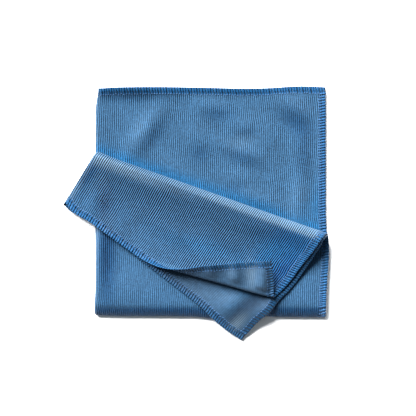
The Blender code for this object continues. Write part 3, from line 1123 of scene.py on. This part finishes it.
@dataclass(frozen=True)
class ThreadFinish:
    """Textured polyester sewing thread, spun from crimped filaments.

    It is a little glossier and fuller in colour than the knit. Its twist is near 0.3 mm, too fine
    to show, so it is drawn at 0.9 mm. Painted shade darkens the threads at the rim and along the
    lines where the loops are pulled in.
    """

    name: str
    light: str
    dark: str
    # tint of the painted shade on the threads
    thread_shade_tint: Colour = (0.22, 0.40, 0.50, 1.0)
    twist_pitch: float = 0.9 * MM
    twist_detail: float = 2.0
    twist_height: float = 0.15 * MM
    twist_strength: float = 0.5
    roughness: float = 0.55
    gloss: float = 0.2

    def make(self) -> bpy.types.Material:
        """Build the material.

        Returns:
            The material.
        """
        material = start_material(self.name)
        tree = material.node_tree
        place = add_node(tree, Kind.PLACE).outputs["Object"]
        shape = {"Vector": place, "Scale": 1.0 / self.twist_pitch, "Detail": self.twist_detail}
        twist = add_node(tree, Kind.NOISE, inputs=shape)
        ends = {0: twist, 6: linear(self.dark), 7: linear(self.light)}
        colour = add_node(tree, Kind.MIX, inputs=ends, data_type="RGBA")
        # painted shade on the threads
        thread_shade = add_node(tree, Kind.ATTRIBUTE, attribute_name="thread_shade").outputs["Fac"]
        ends = {0: thread_shade, 6: colour, 7: self.thread_shade_tint}
        shaded = add_node(tree, Kind.MIX, inputs=ends, data_type="RGBA", blend_type="MULTIPLY")
        bump = {"Strength": self.twist_strength, "Distance": self.twist_height, "Height": twist}
        surface = {
            "Base Color": shaded,
            "Normal": add_node(tree, Kind.BUMP, inputs=bump),
            "Roughness": self.roughness,
            "Specular IOR Level": self.gloss,
        }
        add_node(tree, Kind.OUTPUT, add_node(tree, Kind.SHADER, inputs=surface))
        return material


@dataclass(frozen=True)
class TableFinish:
    """Matt white laminate, pressed smooth: a plain pale ground that throws no gloss at the eye."""

    name: str = "matt white laminate"
    colour: str = "#F6F6F6"
    roughness: float = 0.9
    gloss: float = 0.1

    def make(self) -> bpy.types.Material:
        """Build the material.

        Returns:
            The material.
        """
        material = start_material(self.name)
        tree = material.node_tree
        surface = {
            "Base Color": linear(self.colour),
            "Roughness": self.roughness,
            "Specular IOR Level": self.gloss,
        }
        add_node(tree, Kind.OUTPUT, add_node(tree, Kind.SHADER, inputs=surface))
        return material


def deselect_all() -> None:
    """Leave nothing selected and no active object."""
    for item in bpy.context.selected_objects:
        item.select_set(False)
    bpy.context.view_layer.objects.active = None


def give_to_cloth(piece: bpy.types.Object) -> None:
    """Let a piece ride on the cloth's body, and report it.

    Args:
        piece: a finished piece.
    """
    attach(piece, "root")
    LOG.info("%s: %d faces", piece.name, len(piece.data.polygons))


@dataclass
class ClothSheet:
    """The knitted sheet, folded, with a ribbed face and a smooth face."""

    folds: FoldedSheet
    ribbed: KnitFinish
    smooth: KnitFinish
    thickness: float = 0.9 * MM
    band_thickness: float = 0.75 * MM
    band_blend: float = 2.0 * MM
    thickness_steps: float = 40.0
    fold_reach: float = 10 * MM
    turn_margin: float = 3 * MM
    # how many faces lie between one named line of the flat sheet and the next
    side_faces: tuple[int, ...] = (5, 62, 26, 92, 6)
    length_faces: tuple[int, ...] = (6, 64, 34, 18, 22, 46, 5)

    def spread(self, stops: np.ndarray, faces: tuple[int, ...]) -> np.ndarray:
        """Place grid lines between stops.

        Args:
            stops: one row of stops for each line of the other way.
            faces: how many faces lie between one stop and the next.

        Returns:
            For each row of stops, the places of the grid lines.
        """
        parts = [stops[:, :1]]
        for index, count in enumerate(faces):
            share = np.arange(1, count + 1) / count
            parts.append(between(stops[:, index, None], stops[:, index + 1, None], share))
        return np.concatenate(parts, axis=1)

    def grid_lines(self) -> tuple[np.ndarray, np.ndarray]:
        """Place the sheet's grid, closer at the folds and along the bound edge.

        Returns:
            The side of each column, and for each column the length of each row.
        """
        half, band, reach = self.folds.half, self.folds.band, self.fold_reach
        columns = np.array([[-half, band - half, -reach, reach, half - band, half]])
        sides = self.spread(columns, self.side_faces)[0]
        across = np.abs(sides)
        turn = self.folds.turn
        slope = (turn.end[1] - turn.start[1]) / (turn.end[0] - turn.start[0])
        lean = 1.0 / math.cos(math.atan(slope))
        radius = self.folds.turn_radius(across)
        line = turn.start[1] + (across - turn.start[0]) * slope
        begin = -(line - (radius + self.folds.layer_step) * lean) + self.turn_margin
        depth = np.where(sides > 0.0, self.folds.layer_step, 0.0)
        finish = begin - math.pi * (radius + depth) * lean - 2.0 * self.turn_margin
        stops = (-half, band - half, finish, begin, -reach, reach, half - band, half)
        rows = np.stack([stop * np.ones_like(sides) for stop in stops], axis=1)
        return sides, self.spread(rows, self.length_faces)

    def build(self) -> bpy.types.Object:
        """Lay the sheet out flat, fold it, map it and give it its thickness.

        Returns:
            The piece.
        """
        deselect_all()
        columns, rows = sum(self.side_faces), sum(self.length_faces)
        bpy.ops.mesh.primitive_grid_add(x_subdivisions=columns, y_subdivisions=rows, size=self.folds.side)
        sheet = bpy.context.object
        sheet.name = sheet.data.name = "cloth_sheet"
        mesh = sheet.data
        flat = np.empty(len(mesh.vertices) * 3)
        mesh.vertices.foreach_get("co", flat)
        share = flat.reshape(-1, 3)[:, :2] / self.folds.side + 0.5
        column = np.rint(share[:, 0] * columns).astype(int)
        row = np.rint(share[:, 1] * rows).astype(int)
        sides, lengths = self.grid_lines()
        side, length = sides[column], lengths[column, row]
        mesh.vertices.foreach_set("co", self.folds.fold(side, length).ravel())
        self.map_layout(mesh, side, length)
        self.thicken(sheet, side, length)
        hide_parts(NODE)
        give_to_cloth(sheet)
        return sheet

    def map_layout(self, mesh: bpy.types.Mesh, side: np.ndarray, length: np.ndarray) -> None:
        """Keep the flat layout in metres as the sheet's map, and its painted light and rib opening as
        attributes.

        Args:
            mesh: the sheet's mesh.
            side: place of each vertex across the flat sheet.
            length: place of each vertex along the flat sheet.
        """
        mesh.uv_layers[0].name = "flat"
        corner = np.empty(len(mesh.loops), dtype=np.int32)
        mesh.loops.foreach_get("vertex_index", corner)
        places = np.stack((side, length), axis=1)[corner] + self.folds.half
        mesh.uv_layers[0].data.foreach_set("uv", places.ravel())
        light_map = PaintedLightMap(self.folds, side, length)
        drawn = {
            "nap_and_painted_highlight": light_map.painted_highlight(),
            "painted_shade": light_map.painted_shade(),
            "painted_bounce": light_map.painted_bounce(),
            "opened_ribs_and_shade": light_map.opened_ribs_and_shade(),
        }
        for name, values in drawn.items():
            attribute = mesh.attributes.new(name, "FLOAT", "POINT")
            attribute.data.foreach_set("value", values.astype(np.float32))

    def thicken(self, sheet: bpy.types.Object, side: np.ndarray, length: np.ndarray) -> None:
        """Give the sheet its thickness, less inside the bound edge, and its two finishes.

        Args:
            sheet: the folded sheet.
            side: place of each vertex across the flat sheet.
            length: place of each vertex along the flat sheet.
        """
        inside = self.folds.half - np.maximum(np.abs(side), np.abs(length))
        settled = eased((inside - self.folds.band) / self.band_blend)
        thin = between(self.band_thickness, self.thickness, settled) / self.thickness
        group = sheet.vertex_groups.new(name="thickness")
        steps = np.round(thin * self.thickness_steps).astype(int)
        for step in np.unique(steps):
            weight = float(step / self.thickness_steps)
            group.add(np.flatnonzero(steps == step).tolist(), weight, "REPLACE")
        for finish in (self.ribbed, self.smooth):
            sheet.data.materials.append(finish.make(self.folds.side))
        modifier = sheet.modifiers.new("thickness", "SOLIDIFY")
        modifier.thickness = self.thickness
        modifier.offset = 0.0
        modifier.vertex_group = group.name
        modifier.material_offset = 1
        bpy.ops.object.modifier_apply(modifier=modifier.name)
        bpy.ops.object.shade_smooth()


@dataclass
class FlatStitch:
    """One stitch, flat: its points and the faces between them."""

    points: np.ndarray
    faces: list[tuple[int, ...]]

    @classmethod
    def take(cls, model: bpy.types.Object) -> FlatStitch:
        """Take a modelled stitch's points and faces, and clear the model away.

        Args:
            model: the stitch as it was modelled.

        Returns:
            The stitch.
        """
        points = np.empty(len(model.data.vertices) * 3)
        model.data.vertices.foreach_get("co", points)
        faces = [tuple(face.vertices) for face in model.data.polygons]
        bpy.data.objects.remove(model, do_unlink=True)
        return cls(points.reshape(-1, 3), faces)


@dataclass
class OverlockEdge:
    """Overlock sewing: a loop of thread round the rim for every stitch, and a needle line.

    The stitch is modelled once, flat, and laid along the four borders in turn. In its flat
    layout x runs along the border, y into the cloth from the border and z off its middle.
    """

    folds: FoldedSheet
    upper_thread: ThreadFinish
    lower_thread: ThreadFinish
    needle_thread: ThreadFinish
    # one stitch along the border, and how far its loop reaches into the cloth and past its rim
    stitch: float = 2.4 * MM
    reach: float = 5.7 * MM
    outside: float = 0.2 * MM

    # a loop: squared off at its ends, low and thin towards the needle line, leaning along the edge
    loop_segments: int = 18
    thread_segments: int = 5
    model_thread: float = 0.25
    end_fullness: float = 0.7
    top_fullness: float = 0.5
    rim_lift: float = 0.50 * MM
    inner_lift: float = 0.36 * MM
    lift_settles: float = 1.7
    rim_depth: float = 0.26 * MM
    inner_depth: float = 0.16 * MM
    depth_settles: float = 1.5
    lean: float = 0.18
    lean_grows: float = 2.0
    # the width of a loop in millimetres at distances from the border: it is pulled in twice, and
    # each time a row of small dark gaps shows between the loops
    width_at: Row = (0.0, 0.9, 1.9, 3.6, 4.6, 5.7)
    widths: Row = (2.6, 1.6, 2.7, 1.4, 2.5, 2.6)
    # painted shade on the threads, at distances from the border in millimetres: at the rim, and most where
    # the loops are pulled in
    thread_shade_at: Row = (0.0, 0.3, 0.9, 1.9, 2.7, 3.6, 4.6, 6.0)
    thread_shade: Row = (0.1, 0.3, 0.5, 0.1, 0.3, 0.7, 0.2, 0.1)

    # a needle stitch, a flattened bead on each face
    needle_segments: int = 6
    needle_rings: int = 5
    needle_reach: float = 5.5 * MM
    needle_length: float = 1.6 * MM
    needle_width: float = 0.7 * MM
    needle_flatness: float = 0.6
    needle_lift: float = 0.52 * MM

    # each stitch differs a little in size, place and pull, as the cloth is fed by hand
    uneven: float = 0.12
    slip: float = 0.10
    uneven_pull: float = 0.06
    seed: int = 7

    def loop_model(self) -> FlatStitch:
        """Model one loop of thread round the rim, flat.

        Returns:
            The loop.
        """
        deselect_all()
        bpy.ops.mesh.primitive_torus_add(
            major_segments=self.loop_segments,
            minor_segments=self.thread_segments,
            major_radius=1.0,
            minor_radius=self.model_thread,
        )
        loop = FlatStitch.take(bpy.context.object)
        turn = np.arctan2(loop.points[:, 1], loop.points[:, 0])
        radial = (np.hypot(loop.points[:, 0], loop.points[:, 1]) - 1.0) / self.model_thread
        sideways = loop.points[:, 2] / self.model_thread
        half_reach = (self.reach + self.outside) / 2.0
        cosine, sine = np.cos(turn), np.sin(turn)
        into = half_reach - self.outside
        into = into - half_reach * np.sign(cosine) * np.abs(cosine) ** self.end_fullness
        share = np.clip(into / self.reach, 0.0, 1.0)
        lift = between(self.rim_lift, self.inner_lift, eased(share * self.lift_settles))
        lift = np.sign(sine) * np.abs(sine) ** self.top_fullness * lift
        width = np.interp(into / MM, self.width_at, self.widths) * MM
        depth = between(self.rim_depth, self.inner_depth, eased(share * self.depth_settles))
        out_y, out_z = -cosine / half_reach, sine / self.rim_lift
        size = np.hypot(out_y, out_z)
        into += radial * depth / 2.0 * out_y / size
        lift += radial * depth / 2.0 * out_z / size
        lean = self.lean * np.sign(sine) * np.minimum(np.abs(sine) * self.lean_grows, 1.0)
        run = sideways * width / 2.0 + lean * (into - half_reach)
        return FlatStitch(np.stack((run, into, lift), axis=1), loop.faces)

    def needle_model(self) -> FlatStitch:
        """Model one needle stitch, a short bead of thread along the border on each face.

        Returns:
            Both beads.
        """
        deselect_all()
        middle = (0.0, 0.0, 0.0)
        bpy.ops.mesh.primitive_uv_sphere_add(
            segments=self.needle_segments, ring_count=self.needle_rings, radius=0.5
        )
        bpy.ops.object.mode_set(mode="EDIT")
        bpy.ops.mesh.select_all(action="SELECT")
        bpy.ops.transform.rotate(value=math.pi / 2.0, orient_axis="Y", center_override=middle)
        bpy.ops.transform.resize(
            value=(self.needle_length, self.needle_width, self.needle_width * self.needle_flatness),
            center_override=middle,
        )
        bpy.ops.object.mode_set(mode="OBJECT")
        bead = FlatStitch.take(bpy.context.object)
        beads = [bead.points + (0.0, self.needle_reach, face.value * self.needle_lift) for face in Face]
        shifted = [tuple(corner + len(bead.points) for corner in face) for face in bead.faces]
        return FlatStitch(np.concatenate(beads), bead.faces + shifted)

    def stations(self, border: Border) -> np.ndarray:
        """Space the stitches along one border.

        Args:
            border: the border.

        Returns:
            Places of the stitches, from the border's middle.
        """
        upright = border in (Border.LEFT, Border.RIGHT)
        reach = self.folds.half - (self.reach if upright else self.stitch / 2.0)
        count = int(round(2.0 * reach / self.stitch))
        return np.linspace(-reach, reach, count)

    def places(self, points: np.ndarray) -> np.ndarray:
        """Copy a flat stitch's points to every station and carry them through the folds.

        Args:
            points: the stitch's points, flat.

        Returns:
            The points of all the copies, one copy after the other.
        """
        rng = np.random.default_rng(self.seed)
        placed: list[np.ndarray] = []
        for border in Border:
            out_side, out_length = border.value
            stations = self.stations(border)
            count = len(stations)
            size = 1.0 + self.uneven * rng.uniform(-1.0, 1.0, (count, 1))
            slip = self.slip * self.stitch * rng.uniform(-1.0, 1.0, (count, 1))
            pull = 1.0 + self.uneven_pull * rng.uniform(-1.0, 1.0, (count, 1))
            run = stations[:, None] + slip + points[:, 0][None] * size
            into = np.broadcast_to(points[:, 1][None], run.shape) * pull
            lift = np.broadcast_to(points[:, 2][None], run.shape)
            side = out_side * (self.folds.half - into) + out_length * run
            length = out_length * (self.folds.half - into) - out_side * run
            placed.append(self.folds.lay(side.ravel(), length.ravel(), lift.ravel()))
        return np.concatenate(placed)

    def lay_along(self, name: str, stitch: FlatStitch, finishes: list[ThreadFinish]) -> bpy.types.Object:
        """Sew a stitch round the cloth, at every station of its four borders.

        Args:
            name: the piece's name.
            stitch: the stitch, flat.
            finishes: the thread on the ribbed face, and the one on the smooth face if it differs.

        Returns:
            The piece.
        """
        points = self.places(stitch.points)
        points[:, 2] = np.maximum(points[:, 2], 0.0)  # thread under the cloth lies flat on the table
        size = len(stitch.points)
        copies = len(points) // size
        faces = [
            tuple(corner + copy * size for corner in face) for copy in range(copies) for face in stitch.faces
        ]
        mesh = bpy.data.meshes.new(name)
        mesh.from_pydata(points.tolist(), [], faces)
        for finish in finishes:
            mesh.materials.append(finish.make())
        last = len(finishes) - 1
        on_smooth = [last if stitch.points[list(face), 2].mean() < 0.0 else 0 for face in stitch.faces]
        mesh.polygons.foreach_set("material_index", np.tile(np.array(on_smooth, dtype=np.int32), copies))
        # painted shade on the threads, set by the distance from the border
        thread_shade = np.interp(stitch.points[:, 1] / MM, self.thread_shade_at, self.thread_shade)
        shade = mesh.attributes.new("thread_shade", "FLOAT", "POINT")
        shade.data.foreach_set("value", np.tile(thread_shade.astype(np.float32), copies))
        piece = bpy.data.objects.new(name, mesh)
        bpy.context.scene.collection.objects.link(piece)
        deselect_all()
        piece.select_set(True)
        bpy.context.view_layer.objects.active = piece
        bpy.ops.object.mode_set(mode="EDIT")
        bpy.ops.mesh.select_all(action="SELECT")
        bpy.ops.mesh.normals_make_consistent(inside=False)
        bpy.ops.object.mode_set(mode="OBJECT")
        bpy.ops.object.shade_smooth()
        give_to_cloth(piece)
        return piece

    def build(self) -> list[bpy.types.Object]:
        """Sew the loops and the needle line round the cloth.

        Returns:
            Both pieces.
        """
        looper_threads = [self.upper_thread, self.lower_thread]
        return [
            self.lay_along("overlock_loops", self.loop_model(), looper_threads),
            self.lay_along("needle_line", self.needle_model(), [self.needle_thread]),
        ]


@dataclass(frozen=True)
class SoftLight:
    """A broad lamp that is far away.

    Its bearing turns clockwise from the top of the picture, its elevation is over the table, its
    share is the part of the light on the table that comes from it, and its breadth is in degrees.
    """

    name: str
    bearing: float
    elevation: float
    share: float
    breadth: float

    def place(self, table_light: float) -> None:
        """Put the lamp up.

        Args:
            table_light: all the light that falls on the table.
        """
        lamp = bpy.data.lights.new(self.name, "SUN")
        lamp.energy = math.pi * table_light * self.share / math.sin(math.radians(self.elevation))
        lamp.angle = math.radians(self.breadth)
        item = bpy.data.objects.new(self.name, lamp)
        tilt = math.radians(90.0 - self.elevation)
        item.rotation_euler = (-tilt, 0.0, math.radians(-self.bearing))
        bpy.context.scene.collection.objects.link(item)


@dataclass
class Studio:
    """A pale table, soft light from the upper left and from the top, and a camera straight above."""

    table: TableFinish = TableFinish()
    table_side: float = 6.0
    table_light: float = 4.20
    key: SoftLight = SoftLight("key_light", 326.0, 37.0, 0.89, 40.0)
    rim: SoftLight = SoftLight("top_light", 5.0, 24.0, 0.05, 30.0)
    round_light: Colour = (0.90, 1.0, 1.08, 1.0)
    # what the picture takes in at the height of the cloth's upper layers, and the lens for it
    view_width: float = 360.5 * MM
    view_middle: tuple[float, float] = (9.8 * MM, 4.5 * MM)
    view_height: float = 6 * MM
    lens: float = 200.0
    sensor: float = 36.0

    def build(self) -> None:
        """Set up the table, the light and the camera."""
        self.lay_table()
        self.light()
        self.aim_camera()
        LOG.info("studio ready")

    def lay_table(self) -> None:
        """Make the pale table top."""
        deselect_all()
        bpy.ops.mesh.primitive_plane_add(size=self.table_side)
        table = bpy.context.object
        table.name = "table_top"
        table.data.materials.append(self.table.make())

    def light(self) -> None:
        """Put up both lamps, and a weak even light from all round."""
        self.key.place(self.table_light)
        self.rim.place(self.table_light)
        world = bpy.data.worlds.new("studio")
        world.use_nodes = True
        ground = world.node_tree.nodes["Background"]
        ground.inputs["Color"].default_value = self.round_light
        ground.inputs["Strength"].default_value = self.table_light * (1.0 - self.key.share - self.rim.share)
        bpy.context.scene.world = world
        bpy.context.scene.view_settings.view_transform = "Standard"

    def aim_camera(self) -> None:
        """Look straight down with a long lens."""
        camera_data = bpy.data.cameras.new("camera")
        camera_data.lens = self.lens
        camera_data.sensor_width = self.sensor
        camera = bpy.data.objects.new("camera", camera_data)
        distance = self.view_width * self.lens / self.sensor
        camera.location = (*self.view_middle, self.view_height + distance)
        bpy.context.scene.collection.objects.link(camera)
        bpy.context.scene.camera = camera


def main() -> None:
    """Load the frame, build the cloth and its sewing, and set up the studio."""
    logging.basicConfig(level=logging.INFO, format="%(name)s: %(message)s")
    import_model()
    folds = FoldedSheet()
    # the working side: grooves painted near black as painted shade between pale brushed wales,
    # so the ribs read as fine stripes
    ribbed = KnitFinish(name="ribbed microfibre knit", crest="#386184", groove="#020E1C")
    # the wrong side: flat loops with hardly a rib, greyer, with a grey tint for its painted shade, and a
    # little less gloss
    smooth = KnitFinish(
        name="smooth microfibre knit",
        crest="#324C64",
        groove="#162B3F",
        shade_tint=(0.42, 0.42, 0.45, 1.0),
        rib_depth=0.08 * MM,
        rib_contrast=0.35,
        opened_shade_contrast=0.0,
        opened_depth=0.0,
        nap_strength=0.25,
        gloss=0.10,
    )
    sheet = ClothSheet(folds, ribbed, smooth).build()
    # crimped threads fill out over the edge and look full and soft, deeper on the smooth side,
    # while the needle's spun thread is thinner, matt and paler
    overlock = OverlockEdge(
        folds,
        upper_thread=ThreadFinish("blue textured polyester upper looper thread", "#155583", "#0F2D4A"),
        lower_thread=ThreadFinish("deep blue textured polyester lower looper thread", "#15466A", "#0A243C"),
        needle_thread=ThreadFinish("pale spun polyester needle thread", "#47698F", "#1A3C65"),
    )
    sewing = overlock.build()
    Studio().build()


if __name__ == "__main__":
    main()
